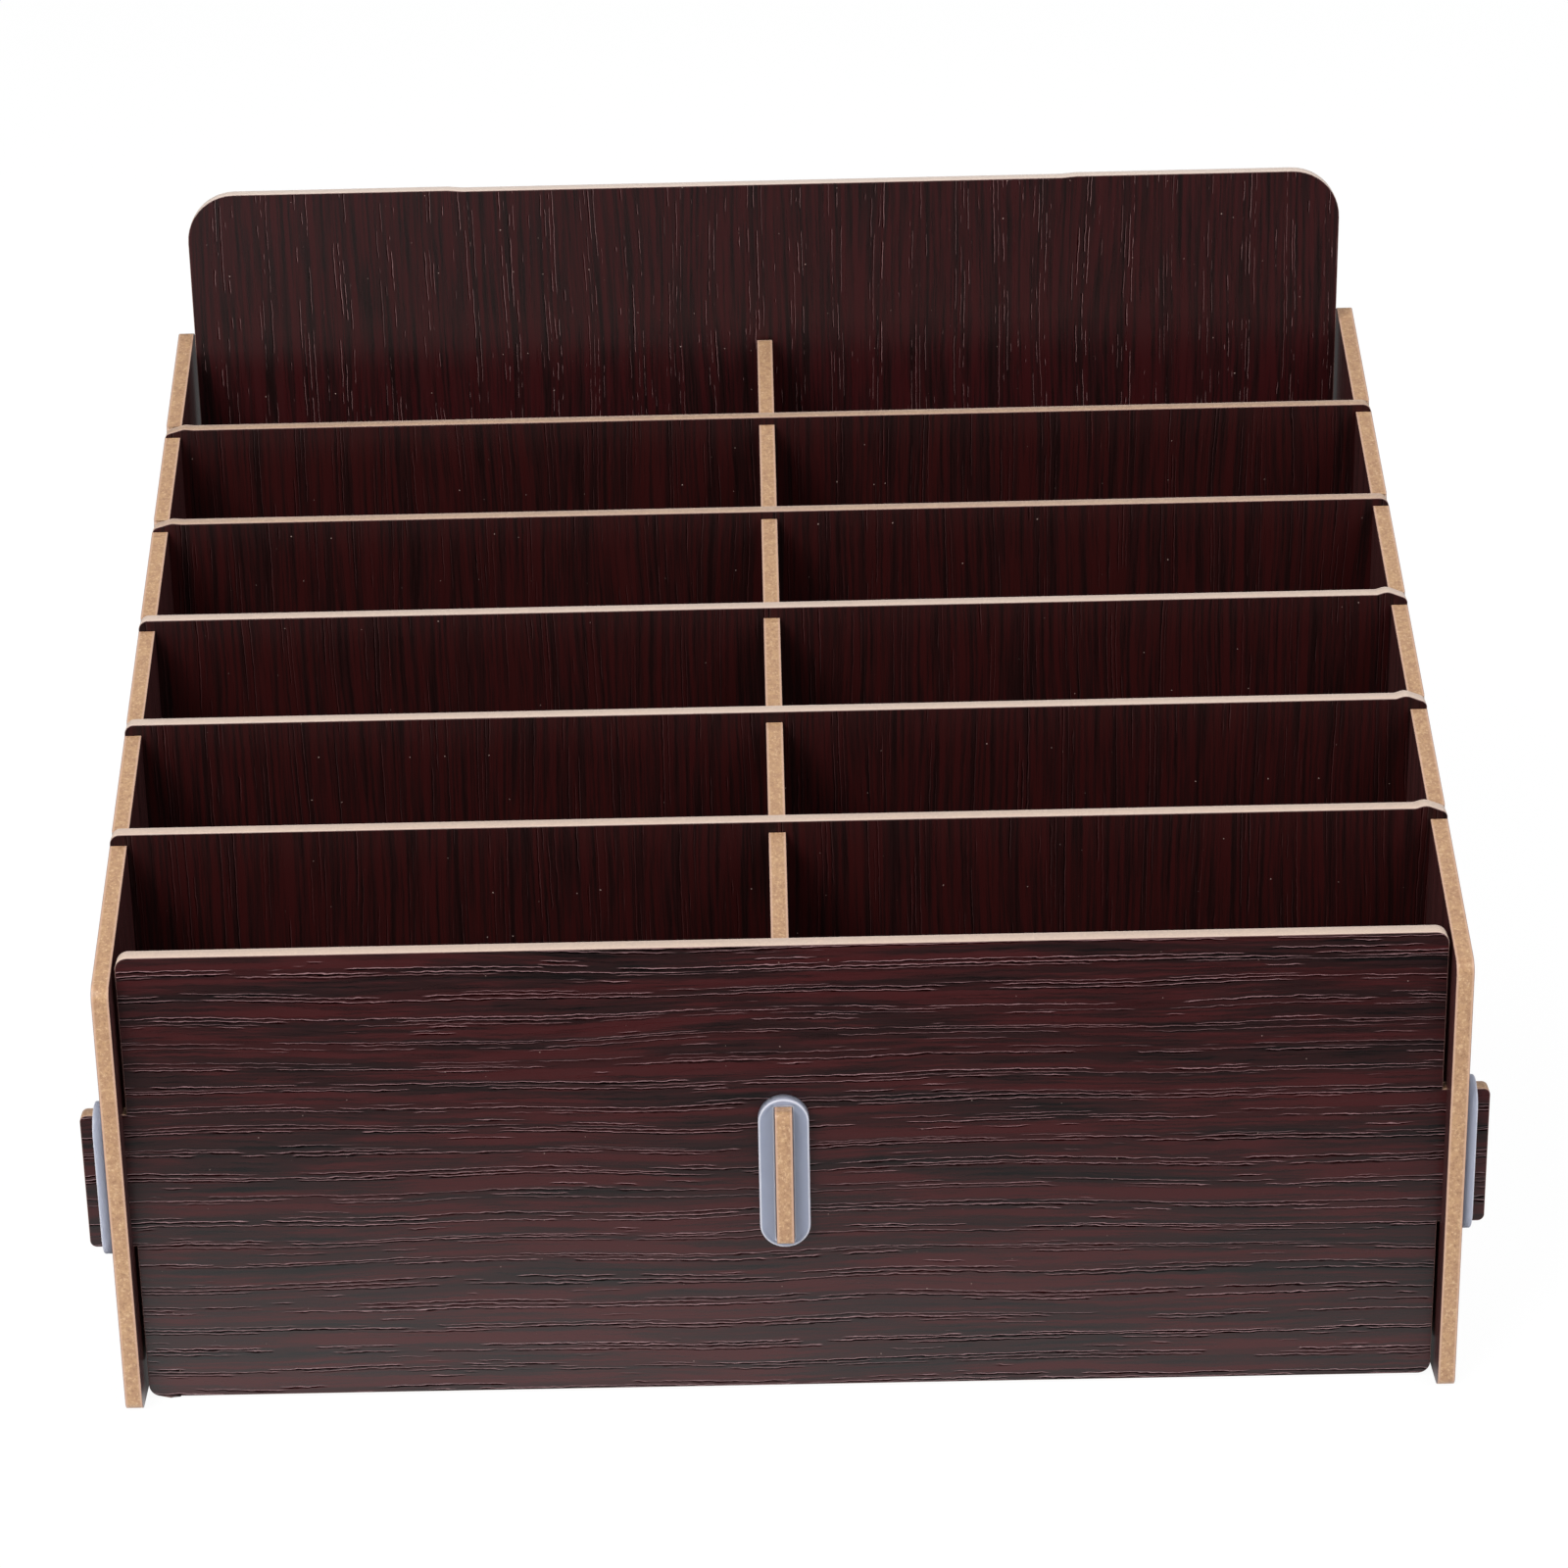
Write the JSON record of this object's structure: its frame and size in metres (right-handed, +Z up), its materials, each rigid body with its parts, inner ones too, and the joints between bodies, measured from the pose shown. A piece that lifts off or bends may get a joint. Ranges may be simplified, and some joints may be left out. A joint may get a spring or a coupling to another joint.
{
  "type": "slot-together envelope sorter",
  "caption": "Slot-together desk sorter of dark wood-grain laminated board, with sloping sides, a tall back and lift-out cross dividers that form rows of upright compartments.",
  "frame": {"origin": "middle of the overall box on the table plane, under the sorter", "axes": "+X to the right along the dividers, +Y to the tall back panel, +Z up"},
  "size_m": [0.246, 0.1796, 0.1759],
  "materials": {
    "laminated_board": "dark cherry wood-grain laminate on both faces, satin with open pores, bare tan MDF edges",
    "silicone_ring": "translucent milky silicone"
  },
  "bodies": {
    "carcass": {"left_side": "laminated_board", "right_side": "laminated_board", "centre_divider": "laminated_board", "front_panel": "laminated_board", "back_panel": "laminated_board", "floor_board": "laminated_board", "lock_ring_front": "silicone_ring", "lock_ring_rear": "silicone_ring", "lock_ring_left_front": "silicone_ring", "lock_ring_left_rear": "silicone_ring", "lock_ring_right_front": "silicone_ring", "lock_ring_right_rear": "silicone_ring"},
    "divider_row_1": {"cross_divider_1": "laminated_board"},
    "divider_row_2": {"cross_divider_2": "laminated_board"},
    "divider_row_3": {"cross_divider_3": "laminated_board"},
    "divider_row_4": {"cross_divider_4": "laminated_board"},
    "divider_row_5": {"cross_divider_5": "laminated_board"}
  },
  "joints": [
    {"name": "lift_out_1", "type": "slide", "parent": "carcass", "child": "divider_row_1", "axis": [0, 0, 1], "range_m": [0, 0.128]},
    {"name": "lift_out_2", "type": "slide", "parent": "carcass", "child": "divider_row_2", "axis": [0, 0, 1], "range_m": [0, 0.119]},
    {"name": "lift_out_3", "type": "slide", "parent": "carcass", "child": "divider_row_3", "axis": [0, 0, 1], "range_m": [0, 0.109]},
    {"name": "lift_out_4", "type": "slide", "parent": "carcass", "child": "divider_row_4", "axis": [0, 0, 1], "range_m": [0, 0.099]},
    {"name": "lift_out_5", "type": "slide", "parent": "carcass", "child": "divider_row_5", "axis": [0, 0, 1], "range_m": [0, 0.089]}
  ]
}
